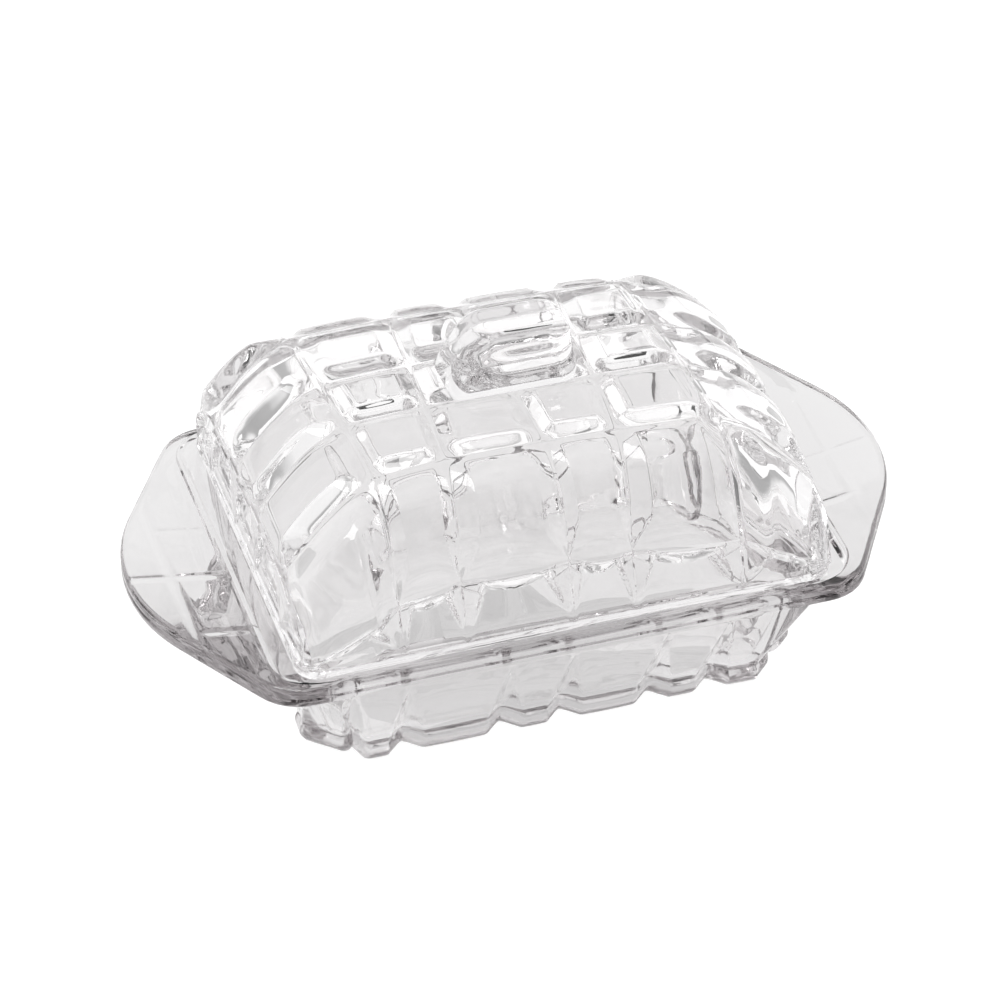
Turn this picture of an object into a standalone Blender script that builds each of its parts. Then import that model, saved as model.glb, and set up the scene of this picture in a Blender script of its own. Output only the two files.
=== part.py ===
"""Pressed-glass butter dish: a trough-shaped tray with two lugs, and a domed lid with a bar knob.

Metres, +Z up. The origin is under the middle of the foot, and +X runs along the dish.
The lid rests on the seat of the tray and lifts off along +Z.
"""

import math

import bmesh
import bpy
import numpy as np

# Heights above the surface that the foot stands on.
SEAT_Z = 0.0360
LIP_Z = 0.0372
RIM_UNDER_Z = 0.0313
FOOT_CREASE_Z = 0.0068
FLOOR_Z = 0.0050
LID_GAP = 0.0003

# Tray outline seen from above: four corner circles and two tip circles, wrapped by one convex line.
CORNER_CENTRE = (0.0690, 0.0437)
CORNER_RADIUS = 0.0138
TIP_CENTRE = 0.0527
TIP_RADIUS = 0.0503
RIM_EDGE = 0.0012

# Rounded rectangles of the tray: half length, half width, corner radius.
STEP_TOP = (0.0763, 0.0552, 0.0090)
STEP_BOTTOM = (0.0757, 0.0546, 0.0084)
MOUTH = (0.0650, 0.0478, 0.0100)
MOUTH_INSIDE = (0.0640, 0.0468, 0.0095)
FLOOR_WALL = (0.0595, 0.0408, 0.0090)
FLOOR_EDGE = (0.0565, 0.0378, 0.0070)
WALL_TOP = (0.0700, 0.0560, 0.0110)
WALL_FOOT = (0.0660, 0.0470, 0.0090)
# The trough's corners are cut off at 45 degrees where length and width from the middle add up to
# more than this, at the foot and at the top.
CORNER_CUT = (0.1002, 0.1200)
MOUTH_ROUND = 0.0012
FLOOR_ROUND = 0.0035
LUG_SLOPE = math.tan(math.radians(11.0))

# Foot: how far each turn of its rounded edge stands out from the wall, and its height.
FOOT_RINGS = ((-0.0032, 0.0), (-0.0006, 0.0012), (0.0006, 0.0036), (0.0, 0.0062))

# V-grooves of the trough, as places along each straight wall from -1 to 1.
LONG_GROOVES = (-1.0, -0.741, -0.276, 0.009, 0.431, 0.716, 1.0)
END_GROOVES = (-1.0, -0.2, 0.2, 1.0)
GROOVE_DEPTH = 0.0040
GROOVE_HALF_WIDTH = 0.0044

# Lid.
LID_RIM = (0.0712, 0.0535, 0.0060)
LID_RIM_INSIDE = (0.0668, 0.0492, 0.0040)
LID_BAND = 0.0026
LID_GROOVES_X = (-0.0705, -0.0470, -0.0245, -0.0020, 0.0205, 0.0432, 0.0705)
LID_GROOVE_LEAN = 0.062
LID_ROWS = (-1.0, -0.65, -0.19, 0.19, 0.65, 1.0)
LID_ROW_SLOPES = (-0.034, -0.025, 0.0, 0.0, -0.025, -0.034)
PILLOW = 0.0023
END_PILLOW = 0.0036
OUTER_ROW_PILLOW = 0.0010
PILLOW_POWER = 2.4
WALL_GROOVE_DEPTH = 0.0014
WALL_GROOVE_HALF_WIDTH = 0.0040
DOME_POWER = 4.2
MIDDLE_POWER = 3.3
HIP_DROP = 0.0032
HIP_POWER = 3.1
CURVE_ALONG_X = 0.25
CURVE_ALONG_Y = 0.6
PANEL_STEPS = (0.0, 0.15, 0.38, 0.62, 0.85)
LID_WALL_ROWS = 4
CORNER_STEPS = 4

# The lid's two skins: half length, half width in the middle and at the corners, and heights
# above the seat of the arch's corner, its middle, the end arch's middle and the crown.
OUTER_SKIN = (0.0705, 0.0483, 0.0525, 0.0045, 0.0186, 0.0220, 0.0447)
INNER_SKIN = (0.0662, 0.0440, 0.0484, 0.0034, 0.0146, 0.0178, 0.0406)

# Knob: half sizes at its foot and at its top, and its height above the seat.
KNOB_FOOT = (0.0175, 0.0092, 0.0050)
KNOB_WAIST = (0.0160, 0.0080, 0.0048)
KNOB_TOP = (0.0162, 0.0088, 0.0055)
KNOB_ROOT_Z = 0.0425
KNOB_TOP_Z = 0.0612
KNOB_ROUND = 0.0035

GLASS_COLOUR = (0.93, 0.94, 0.94, 1.0)
GLASS_ROUGHNESS = 0.03
GLASS_INDEX = 1.52


def clear_scene():
    for obj in list(bpy.data.objects):
        bpy.data.objects.remove(obj, do_unlink=True)


def glass(name):
    material = bpy.data.materials.new(name)
    material.use_nodes = True
    shader = material.node_tree.nodes["Principled BSDF"]
    shader.inputs["Base Color"].default_value = GLASS_COLOUR
    shader.inputs["Roughness"].default_value = GLASS_ROUGHNESS
    shader.inputs["IOR"].default_value = GLASS_INDEX
    shader.inputs["Transmission Weight"].default_value = 1.0
    return material


def add_object(name, points, faces, material):
    """One mesh object from world points and faces given as point numbers."""
    mesh = bpy.data.meshes.new(name)
    mesh.from_pydata([tuple(point) for point in points], [], faces)
    mesh.validate()
    shape = bmesh.new()
    shape.from_mesh(mesh)
    bmesh.ops.remove_doubles(shape, verts=shape.verts, dist=1e-6)
    bmesh.ops.dissolve_degenerate(shape, edges=shape.edges, dist=1e-6)
    bmesh.ops.recalc_face_normals(shape, faces=shape.faces)
    shape.to_mesh(mesh)
    shape.free()
    mesh.shade_smooth()
    mesh.set_sharp_from_angle(angle=math.radians(28))
    obj = bpy.data.objects.new(name, mesh)
    obj.data.materials.append(material)
    bpy.context.scene.collection.objects.link(obj)
    return obj


# ---------------------------------------------------------------- outlines


def arc_lengths(half_x, half_y, radius):
    """Lengths of the eight stretches of a rounded rectangle: front, corner, right, corner, ..."""
    long_side = 2 * (half_x - radius)
    short_side = 2 * (half_y - radius)
    corner = 0.5 * math.pi * radius
    return (long_side, corner, short_side, corner) * 2


def on_rectangle(station, half_x, half_y, radius):
    """Point and outward normal at a station (stretch, fraction) of a rounded rectangle."""
    stretch, fraction = station
    quarter, is_corner = divmod(stretch, 2)
    turn = 0.5 * math.pi * quarter
    flat_x, flat_y = half_x - radius, half_y - radius
    # Work on the front side, or on the side that faces front after a turn, then turn back.
    along, across = (flat_x, flat_y) if quarter % 2 == 0 else (flat_y, flat_x)
    if is_corner:
        angle = -0.5 * math.pi * (1 - fraction)
        local = (along + radius * math.cos(angle), -across + radius * math.sin(angle))
        normal = (math.cos(angle), math.sin(angle))
    else:
        local = (along * (2 * fraction - 1), -across - radius)
        normal = (0.0, -1.0)
    cosine, sine = math.cos(turn), math.sin(turn)
    point = (local[0] * cosine - local[1] * sine, local[0] * sine + local[1] * cosine)
    outward = (normal[0] * cosine - normal[1] * sine, normal[0] * sine + normal[1] * cosine)
    return np.array(point), np.array(outward)


def tray_edge_support(direction):
    """How far the tray's outline reaches in a direction."""
    corner = abs(direction[0]) * CORNER_CENTRE[0] + abs(direction[1]) * CORNER_CENTRE[1]
    return max(corner + CORNER_RADIUS, abs(direction[0]) * TIP_CENTRE + TIP_RADIUS)


def on_tray_edge(point, direction, inset=0.0):
    """Where a line from a point inside meets the tray's outline, moved in by the inset."""
    angles = np.linspace(0.0, 2 * math.pi, 721)
    reach = math.inf
    for angle in angles:
        normal = np.array((math.cos(angle), math.sin(angle)))
        slope = normal @ direction
        if slope > 1e-6:
            distance = (tray_edge_support(normal) - inset - normal @ point) / slope
            reach = min(reach, distance)
    return point + reach * direction


def groove_places():
    """Places of the V-grooves along the foot's outline, measured from the front wall's left end."""
    lengths = arc_lengths(*WALL_FOOT)
    starts = np.concatenate([[0.0], np.cumsum(lengths)])
    places = []
    for stretch, grooves in ((0, LONG_GROOVES), (2, END_GROOVES), (4, LONG_GROOVES), (6, END_GROOVES)):
        for groove in grooves:
            places.append(starts[stretch] + lengths[stretch] * (groove + 1) / 2)
    return np.array(places), starts


def tray_stations():
    """Stations around the trough, closer together at the grooves, and each one's distance to a groove."""
    places, starts = groove_places()
    total = starts[-1]
    wanted = set()
    for index, place in enumerate(places):
        following = places[(index + 1) % len(places)] + (total if index + 1 == len(places) else 0)
        middle = (place + following) / 2
        for where in (place, place + GROOVE_HALF_WIDTH, middle, following - GROOVE_HALF_WIDTH):
            wanted.add(round(where % total, 7))
    stations = []
    for place in sorted(wanted):
        stretch = min(int(np.searchsorted(starts, place + 1e-7, side="right")) - 1, 7)
        fraction = (place - starts[stretch]) / (starts[stretch + 1] - starts[stretch])
        gap = np.abs(places - place)
        stations.append(((stretch, fraction), float(np.minimum(gap, total - gap).min())))
    return stations


# ---------------------------------------------------------------- tray


def trough_wall(station, groove_gap, level, stand_out=0.0):
    """Point of the trough's outer wall. The level runs from 0 at the foot to 1 under the rim."""
    sizes = [foot + (top - foot) * level for foot, top in zip(WALL_FOOT, WALL_TOP)]
    point, normal = on_rectangle(station, *sizes)
    limit = CORNER_CUT[0] + (CORNER_CUT[1] - CORNER_CUT[0]) * level
    excess = max(abs(point[0]) + abs(point[1]) - limit, 0.0)
    point = point - np.sign(point) * 0.5 * excess
    half_width = GROOVE_HALF_WIDTH * (1 - level) + 1e-5
    depth = GROOVE_DEPTH * (1 - level) * max(0.0, 1 - groove_gap / half_width)
    return point + normal * (stand_out - depth), normal


def tray_column(station, groove_gap):
    """Points up the outside of the tray and down its inside, at one station."""
    column = []
    foot_point, normal = trough_wall(station, groove_gap, 0.0)
    for stand_out, height in FOOT_RINGS:
        column.append((*(foot_point + normal * stand_out), height))
    base, base_normal = on_rectangle(station, *WALL_TOP)
    edge = on_tray_edge(base, base_normal, RIM_EDGE)
    wall_top_z = RIM_UNDER_Z - 0.0003 - LUG_SLOPE * float(np.linalg.norm(edge - base))
    for level in (0.0, 0.5, 1.0):
        point, _ = trough_wall(station, groove_gap, level)
        column.append((*point, FOOT_CREASE_Z + (wall_top_z - FOOT_CREASE_Z) * level))
    outer = on_tray_edge(base, base_normal)
    column.append((*edge, RIM_UNDER_Z))
    column.append((*outer, RIM_UNDER_Z + RIM_EDGE))
    column.append((*outer, LIP_Z - RIM_EDGE))
    column.append((*edge, LIP_Z))
    inner_rings = (
        (STEP_TOP, LIP_Z),
        (STEP_BOTTOM, SEAT_Z),
        (MOUTH, SEAT_Z),
        (MOUTH_INSIDE, SEAT_Z - MOUTH_ROUND),
        (FLOOR_WALL, FLOOR_Z + FLOOR_ROUND),
        (FLOOR_EDGE, FLOOR_Z),
    )
    for sizes, height in inner_rings:
        point, _ = on_rectangle(station, *sizes)
        column.append((*point, height))
    return column


def build_tray(material):
    columns = [tray_column(*station) for station in tray_stations()]
    count, height = len(columns), len(columns[0])
    points = [point for column in columns for point in column]
    faces = []
    for index in range(count):
        here, there = index * height, (index + 1) % count * height
        for level in range(height - 1):
            faces.append((here + level, there + level, there + level + 1, here + level + 1))
    faces.append([index * height for index in range(count)][::-1])
    faces.append([index * height + height - 1 for index in range(count)])
    return add_object("tray", points, faces, material)


# ---------------------------------------------------------------- lid


def superellipse(angle):
    """Sideways and upward parts of a superellipse of size 1, at an angle from straight up."""
    sideways, upward = np.sin(angle), np.cos(angle)
    size = (np.abs(sideways) ** DOME_POWER + np.abs(upward) ** DOME_POWER) ** (1 / DOME_POWER)
    return sideways / size, upward / size


def angle_for(ratio):
    """The angle at which the superellipse is this far out sideways."""
    upward = max(0.0, 1 - abs(ratio) ** DOME_POWER) ** (1 / DOME_POWER)
    return math.atan2(ratio, upward)


def panel_places(line_count):
    """Places across the panels: whole numbers are the grooves, fractions lie between them."""
    places = [line + step for line in range(line_count - 1) for step in PANEL_STEPS]
    return np.array(places + [line_count - 1.0])


def flatten_panels(grid, places, axis, curve):
    """Moves the points between two grooves towards the straight line between those grooves."""
    lower = np.minimum(places.astype(int), int(places[-1]) - 1)
    before, after = (np.take(grid, np.searchsorted(places, lower + side), axis) for side in (0, 1))
    part = (places - lower).reshape((-1, 1, 1) if axis == 0 else (1, -1, 1))
    straight = before + (after - before) * part
    return straight + (grid - straight) * curve


def pillow_heights(columns, rows):
    """How far each point of the crown stands out from the flat panels."""
    last_column, last_row = columns[-1], rows[-1]
    height = np.full((len(columns), len(rows)), PILLOW)
    height[:, (rows < 1) | (rows > last_row - 1)] = OUTER_ROW_PILLOW
    height[(columns < 1) | (columns > last_column - 1), :] = END_PILLOW
    crown_x = 1 - np.abs(2 * (columns % 1) - 1) ** PILLOW_POWER
    crown_y = 1 - np.abs(2 * (rows % 1) - 1) ** PILLOW_POWER
    return height * crown_x[:, None] * crown_y[None, :]


def dome_grid(skin, has_pillows):
    """Grid of points over the lid's crown, columns along X first, within its four arches."""
    half_x, half_y, corner_y, corner_z, arch_z, end_arch_z, crown_z = skin
    columns = panel_places(len(LID_GROOVES_X))
    rows = panel_places(len(LID_ROWS))
    lines = range(len(LID_GROOVES_X))
    groove_angles = [angle_for(x / LID_GROOVES_X[-1]) for x in LID_GROOVES_X]
    leans = [0.0 if line in (0, 6) else LID_GROOVE_LEAN * (-1) ** line for line in lines]
    row_angles = [angle_for(ratio) for ratio in LID_ROWS]
    angle_x = np.interp(columns, lines, groove_angles)[:, None]
    lean = np.interp(columns, lines, leans)[:, None]
    angle_y = np.interp(rows, range(len(LID_ROWS)), row_angles)[None, :]
    slope = np.interp(rows, range(len(LID_ROWS)), LID_ROW_SLOPES)[None, :]
    out_x, up_x = superellipse(angle_x)
    out_y, up_y = superellipse(angle_y)
    middle = 1 - np.abs(out_x) ** MIDDLE_POWER
    edge_y = corner_y + (half_y - corner_y) * middle
    edge_z = corner_z + (arch_z - corner_z) * middle
    ridge_z = end_arch_z + (crown_z - end_arch_z) * up_x
    hip = HIP_DROP * np.abs(out_x * out_y) ** HIP_POWER
    y = edge_y * out_y + slope * half_x * out_x * middle
    x = half_x * out_x + lean * y
    z = edge_z + (ridge_z - edge_z - hip) * up_y
    grid = np.stack(np.broadcast_arrays(x, y, z), axis=-1)
    grid = flatten_panels(grid, columns, 0, CURVE_ALONG_X)
    grid = flatten_panels(grid, rows, 1, CURVE_ALONG_Y)
    if has_pillows:
        normal = np.cross(np.gradient(grid, axis=0), np.gradient(grid, axis=1))
        normal /= np.linalg.norm(normal, axis=-1, keepdims=True)
        grid = grid + normal * pillow_heights(columns, rows)[..., None]
    return grid, columns, rows


def wall_loop(columns, rows):
    """The lid's wall stations in order: grid place of the arch above, station of the rim, groove gap."""
    last_column, last_row = len(columns) - 1, len(rows) - 1
    sides = (
        (0, [(index, 0) for index in range(last_column + 1)], columns),
        (2, [(last_column, index) for index in range(last_row + 1)], rows),
        (4, [(last_column - index, last_row) for index in range(last_column + 1)], columns[::-1]),
        (6, [(0, last_row - index) for index in range(last_row + 1)], rows[::-1]),
    )
    loop = []
    for stretch, places, lines in sides:
        for order, place in enumerate(places):
            at_corner = order in (0, len(places) - 1)
            distance = 1.0 if at_corner else abs(lines[order] - round(lines[order]))
            loop.append((place, stretch, distance))
        for step in range(1, CORNER_STEPS):
            loop.append((places[-1], stretch + 1 + step / CORNER_STEPS, 1.0))
    return loop


def lid_skin(skin, rim, has_pillows, groove_depth, foot_z):
    """Points and faces of one skin of the lid, and the numbers of the points along its rim."""
    grid, columns, rows = dome_grid(skin, has_pillows)
    width = len(rows)
    points = [tuple(point) for point in grid.reshape(-1, 3)]
    faces = []
    for i in range(len(columns) - 1):
        for j in range(width - 1):
            corner = i * width + j
            faces.append((corner, corner + width, corner + width + 1, corner + 1))
    previous, first, rim_points = None, None, []
    panel_width = 2 * rim[0] / (len(LID_GROOVES_X) - 1)
    for (i, j), place, distance in wall_loop(columns, rows):
        top = grid[i, j]
        station = wall_station(place, top, rim)
        foot, outward = on_rectangle(station, *rim)
        strand = [i * width + j]
        for row in range(1, LID_WALL_ROWS + 1):
            level = 1 - row / LID_WALL_ROWS
            half_width = WALL_GROOVE_HALF_WIDTH / panel_width * level + 1e-4
            depth = groove_depth * level * max(0.0, 1 - distance / half_width)
            height = foot_z + (top[2] - foot_z) * level
            flat = foot + (top[:2] - foot) * level - outward * depth
            strand.append(len(points))
            points.append((*flat, height))
        if previous:
            for lower, upper in zip(range(LID_WALL_ROWS), range(1, LID_WALL_ROWS + 1)):
                face = (previous[upper], strand[upper], strand[lower], previous[lower])
                faces.append(tuple(dict.fromkeys(face)))
        previous, first = strand, first or strand
        rim_points.append(strand[-1])
    for lower in range(LID_WALL_ROWS):
        face = (previous[lower + 1], first[lower + 1], first[lower], previous[lower])
        faces.append(tuple(dict.fromkeys(face)))
    return points, faces, rim_points


def wall_station(place, top, rim):
    """The station of the rim's outline that stands under a point of the arch."""
    stretch = int(place)
    if stretch % 2 or place != stretch:
        return stretch, place - stretch
    flat = (rim[0] - rim[2], rim[1] - rim[2])[stretch % 4 // 2]
    along = (top[0], top[1], -top[0], -top[1])[stretch // 2]
    return stretch, (min(max(along / flat, -1.0), 1.0) + 1) / 2


def build_lid(material):
    base = SEAT_Z + LID_GAP
    outer, outer_faces, outer_rim = lid_skin(OUTER_SKIN, LID_RIM, True, WALL_GROOVE_DEPTH, LID_BAND)
    inner, inner_faces, inner_rim = lid_skin(INNER_SKIN, LID_RIM_INSIDE, False, 0.0, LID_BAND)
    points = outer + inner
    faces = outer_faces + [tuple(len(outer) + number for number in face[::-1]) for face in inner_faces]
    inner_rim = [len(outer) + number for number in inner_rim]
    loops = [outer_rim]
    for source in (outer_rim, inner_rim):
        loops.append(range(len(points), len(points) + len(source)))
        points += [(points[number][0], points[number][1], 0.0) for number in source]
    loops.append(inner_rim)
    for upper, lower in zip(loops, loops[1:]):
        for index in range(len(upper)):
            following = (index + 1) % len(upper)
            faces.append((upper[index], lower[index], lower[following], upper[following]))
    lifted = [(x, y, z + base) for x, y, z in points]
    return add_object("lid", lifted, faces, material)


def build_knob():
    """The solid that the knob adds to the lid."""
    rings = []
    profile = (
        (KNOB_FOOT, KNOB_ROOT_Z),
        (KNOB_WAIST, (KNOB_ROOT_Z + KNOB_TOP_Z) / 2),
        (KNOB_TOP, KNOB_TOP_Z - KNOB_ROUND),
        (tuple(size - 0.3 * KNOB_ROUND for size in KNOB_TOP), KNOB_TOP_Z - 0.3 * KNOB_ROUND),
        (tuple(size - KNOB_ROUND for size in KNOB_TOP), KNOB_TOP_Z),
    )
    for sizes, height in profile:
        ring = []
        for stretch in range(8):
            steps = CORNER_STEPS if stretch % 2 else 2
            for step in range(steps):
                point, _ = on_rectangle((stretch, step / steps), *sizes)
                ring.append((*point, height + SEAT_Z))
        rings.append(ring)
    count = len(rings[0])
    points = [point for ring in rings for point in ring]
    faces = [list(range(count))[::-1], [len(points) - count + index for index in range(count)]]
    for level in range(len(rings) - 1):
        for index in range(count):
            following = (index + 1) % count
            low, high = level * count, (level + 1) * count
            faces.append((low + index, low + following, high + following, high + index))
    knob = add_object("knob_form", points, faces, glass("knob_form"))
    knob.hide_render = True
    knob.display_type = "WIRE"
    return knob


def main():
    clear_scene()
    build_tray(glass("tray_glass"))
    lid = build_lid(glass("lid_glass"))
    union = lid.modifiers.new("knob_union", "BOOLEAN")
    union.operation = "UNION"
    union.solver = "EXACT"
    union.object = build_knob()


main()
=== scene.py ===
import math

import bmesh
import bpy
import numpy as np
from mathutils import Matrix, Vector


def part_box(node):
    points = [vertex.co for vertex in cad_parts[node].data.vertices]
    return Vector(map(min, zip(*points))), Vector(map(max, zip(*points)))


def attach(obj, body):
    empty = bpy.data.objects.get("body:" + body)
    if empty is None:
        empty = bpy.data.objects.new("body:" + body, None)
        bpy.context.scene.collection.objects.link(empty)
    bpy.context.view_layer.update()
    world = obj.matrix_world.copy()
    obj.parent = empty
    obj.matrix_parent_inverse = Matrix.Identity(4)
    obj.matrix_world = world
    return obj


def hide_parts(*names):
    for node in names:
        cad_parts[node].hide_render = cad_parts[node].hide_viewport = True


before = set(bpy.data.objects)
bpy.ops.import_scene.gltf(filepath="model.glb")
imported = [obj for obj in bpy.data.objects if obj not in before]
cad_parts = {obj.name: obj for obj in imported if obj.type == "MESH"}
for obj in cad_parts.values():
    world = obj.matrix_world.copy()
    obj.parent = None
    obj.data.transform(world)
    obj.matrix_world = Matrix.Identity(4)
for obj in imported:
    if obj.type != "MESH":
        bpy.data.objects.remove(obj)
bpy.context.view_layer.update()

# Pressed-glass butter dish. The frame's two nodes are replaced by fine versions of the same two
# pieces: the moulded panels, ribs, grooves and pressed lines are geometry, and the glass is one
# procedural material per piece. Everything is in metres, +Z up, with the foot on Z = 0.

_, TRAY_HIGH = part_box("tray")
LID_LOW, LID_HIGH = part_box("lid")

# Heights and outlines that the frame gives.
LIP_Z = TRAY_HIGH.z
LID_BASE_Z = LID_LOW.z
SEAT_GAP = 0.0003
SEAT_Z = LID_BASE_Z - SEAT_GAP
LUG_TIP_X = TRAY_HIGH.x
LID_HEIGHT = LID_HIGH.z - LID_BASE_Z

# Tray: heights, and the circles at its corners and lug tips that its outline is drawn round. The walls
# are rounded rectangles, given as half length, half width and corner radius.
RIM_UNDER_Z = 0.0313
FOOT_CREASE_Z = 0.0068
FLOOR_Z = 0.0050
CORNER_CENTRE = (0.0690, 0.0437)
CORNER_RADIUS = TRAY_HIGH.y - CORNER_CENTRE[1]
TIP_RADIUS = 0.0503
TIP_CENTRE = LUG_TIP_X - TIP_RADIUS
WALL_TOP = (0.0700, 0.0560, 0.0110)
WALL_FOOT = (0.0660, 0.0470, 0.0090)
# The underside of the rim and lugs slopes up outwards, and is lower at the wall by this drop as well.
LUG_SLOPE = math.tan(math.radians(11.0))
LUG_DROP = 0.0003
# In how many directions the tray's outline is measured.
EDGE_DIRECTIONS = 1441
# The foot's rounded edge: how far it stands out from the wall, and its height.
FOOT_PROFILE = (
    (-0.0046, 0.0002), (-0.0032, 0.0), (-0.0020, 0.0002), (-0.0010, 0.0008), (-0.0002, 0.0018),
    (0.0005, 0.0030), (0.0006, 0.0042), (0.0003, 0.0054), (-0.0002, 0.0062),
)
# The rim's edge, with a fine line pressed along it: how far in, and how far above its underside.
RIM_PROFILE = (
    (0.0013, 0.0000), (0.0007, 0.0002), (0.0002, 0.0006), (0.0, 0.0012),
    (0.0001, 0.0021), (0.0005, 0.0026), (0.0001, 0.0031), (0.0001, 0.0038),
    (0.0, 0.0047), (0.0003, 0.0054), (0.0008, 0.0058), (0.0014, 0.0059),
)
# From the raised lip over the lid's seat and down the trough's inside to its floor.
SEAT_PROFILE = (
    ((0.0783, 0.0559, 0.0128), LIP_Z),
    ((0.0778, 0.0556, 0.0122), LIP_Z + 0.0003),
    ((0.0771, 0.0554, 0.0112), LIP_Z + 0.0003),
    ((0.0766, 0.0551, 0.0100), LIP_Z),
    ((0.0760, 0.0548, 0.0086), LIP_Z - 0.0006),
    ((0.0755, 0.0545, 0.0084), SEAT_Z + 0.0001),
    ((0.0748, 0.0542, 0.0082), SEAT_Z),
    ((0.0700, 0.0510, 0.0100), SEAT_Z),
    ((0.0658, 0.0486, 0.0104), SEAT_Z),
    ((0.0650, 0.0478, 0.0100), SEAT_Z - 0.0003),
    ((0.0644, 0.0472, 0.0098), SEAT_Z - 0.0010),
    ((0.0640, 0.0468, 0.0095), SEAT_Z - 0.0020),
    ((0.0626, 0.0448, 0.0094), SEAT_Z - 0.0110),
    ((0.0611, 0.0428, 0.0092), SEAT_Z - 0.0200),
    ((0.0597, 0.0410, 0.0090), FLOOR_Z + 0.0050),
    ((0.0592, 0.0403, 0.0086), FLOOR_Z + 0.0030),
    ((0.0584, 0.0395, 0.0080), FLOOR_Z + 0.0014),
    ((0.0572, 0.0383, 0.0072), FLOOR_Z + 0.0004),
    ((0.0558, 0.0369, 0.0064), FLOOR_Z),
)

# V-grooves of the trough: places along each straight wall from -1 to 1, and the step at which one
# lies in the corner after each long wall.
LONG_GROOVES = (-1.0, -0.741, -0.276, 0.009, 0.431, 0.716)
END_GROOVES = (-0.51, -0.01, 0.63)
CORNER_GROOVE_STEP = 9
TRAY_CORNER_STEPS = 14
TRAY_SIDE_STEPS = 150
# A step this close to a groove gives way to the groove's own.
STEP_CLEARANCE = 0.004
GROOVE_DEPTH = 0.0042
GROOVE_HALF_WIDTH = 0.0048
PANEL_CROWN = 0.0005
WALL_LEVELS = 22
# The trough's corners are cut off at 45 degrees: half length plus half width there, at the foot and
# at the top. The grooves are shallower there by this share.
CORNER_CUT = (0.1002, 0.1200)
CORNER_SHALLOWER = 0.4
# The bottom of a V-shaped valley is rounded over this share of its depth, and filled by this share.
VALLEY_ROUND_SHARE = 0.2
VALLEY_FILL = 0.12

# Underside of the lugs: pressed valleys across (at these Y) and one along (at this X).
LUG_MIDDLE_Y = -0.0004
LUG_CROSS_Y = (-0.0195, LUG_MIDDLE_Y, 0.0240)
LUG_CROSS_SKEW = 0.10
LUG_CROSS_START_X = 0.0800
LUG_LENGTHWISE_X = 0.0903
LUG_LENGTHWISE_SKEW = 0.02
LUG_LENGTHWISE_WIDER = 1.3
LUG_VALLEY_HALF_WIDTH = 0.0015
LUG_VALLEY_DEPTH = 0.00025
LUG_FADE_START_X = 0.0765
LUG_FADE_LENGTH = 0.003
LUG_LEVELS = 40

# Lid, as in the frame: its rim outside and inside as rounded rectangles, the height of the band round
# it, the grooves along X, and the rows of panels as shares of the half width.
LID_RIM = (0.0712, 0.0535, 0.0060)
LID_RIM_INSIDE = (0.0668, 0.0492, 0.0040)
LID_BAND = 0.0026
LID_GROOVES_X = (-0.0705, -0.0470, -0.0245, -0.0020, 0.0205, 0.0432, 0.0705)
LID_GROOVE_LEAN = 0.062
LID_ROWS = (-1.0, -0.65, -0.19, 0.19, 0.65, 1.0)
LID_ROW_SLOPES = (-0.034, -0.025, 0.0, 0.0, -0.025, -0.034)
# The crown's cross-sections are superellipses. Its long sides keep the shape of their middle until near
# the corners, where the crown drops at the hips. Panels keep a share of the curve across them.
DOME_POWER = 4.2
MIDDLE_POWER = 3.3
HIP_DROP = 0.0032
HIP_POWER = 3.1
CURVE_ALONG_X = 0.25
CURVE_ALONG_Y = 0.6
# How far the panels stand out at their middle, and how deep the outer rows' grooves are cut in.
PILLOW = 0.0023
END_PILLOW = 0.0034
OUTER_ROW_PILLOW = 0.0012
OUTER_ROW_CUT = 0.0016
# A panel's edges are bevelled: shares of its width up to the groove's flat bottom and to the shoulder.
GROOVE_SHARE = 0.022
SHOULDER_SHARE = 0.20
# The shoulder is rounded between these shares of the bevel's climb.
SHOULDER_ROUND = (0.75, 1.25)
PANEL_CROWN_SHARE = 0.16
# The outer panels narrow over this share of their row, down to this share of their width.
ARCH_SHARE = 0.38
NARROWEST_SHARE = 0.05
# Each skin of the lid: half length, half width at the middle and at the corners, then the heights of
# the corners, of the arches on the long sides and at the ends, and of the crown.
OUTER_SKIN = (0.0705, 0.0483, 0.0525, 0.0045, 0.0186, 0.0220, 0.0447)
INNER_SKIN = (0.0656, 0.0434, 0.0478, 0.0034, 0.0146, 0.0178, 0.0406)
INNER_SOFTENING = 30
# Where the mesh is cut across a panel: closest over the groove and the bevel.
HALF_PANEL_STEPS = (
    0.011, 0.022, 0.038, 0.056, 0.075, 0.095, 0.115, 0.135, 0.155, 0.175, 0.20, 0.22, 0.26, 0.33, 0.42,
)
PANEL_STEPS = (0.0, *HALF_PANEL_STEPS, 0.5, *(1 - step for step in HALF_PANEL_STEPS[::-1]))
# The cornice under the arches: a bead and a cove that runs back under it. Each step is how far out,
# and how far down at the middle of a bay and at its ends.
CORNICE = (
    (0.0006, 0.0002, 0.0002), (0.0010, 0.0006, 0.0005), (0.0010, 0.0012, 0.0009),
    (0.0004, 0.0023, 0.0011), (-0.0002, 0.0035, 0.0013), (-0.0008, 0.0047, 0.0015),
    (-0.0014, 0.0059, 0.0017), (-0.0020, 0.0070, 0.0019),
)
CORNICE_ROOM = 0.0150
# Between the coves a rib is left at each groove: a wedge that runs down to a point at the rim.
RIB_STAND_OUT = 0.0004
RIB_HALF_WIDTH = 0.0040
RIB_SIDE = 0.0012
WALL_CROWN = 0.0004
LID_WALL_LEVELS = 22
INNER_WALL_LEVELS = 6
LID_CORNER_STEPS = 8
# The underside of the lid's rim, from the outside in: the skin that a step follows, how far it
# stands out from that skin, and its height.
LID_RIM_PROFILE = (
    ("outer", 0.0003, 0.0021), ("outer", 0.0004, 0.0012), ("outer", 0.0002, 0.0004),
    ("outer", -0.0004, 0.0), ("inner", 0.0008, 0.0), ("inner", 0.0, 0.0006),
)

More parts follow.
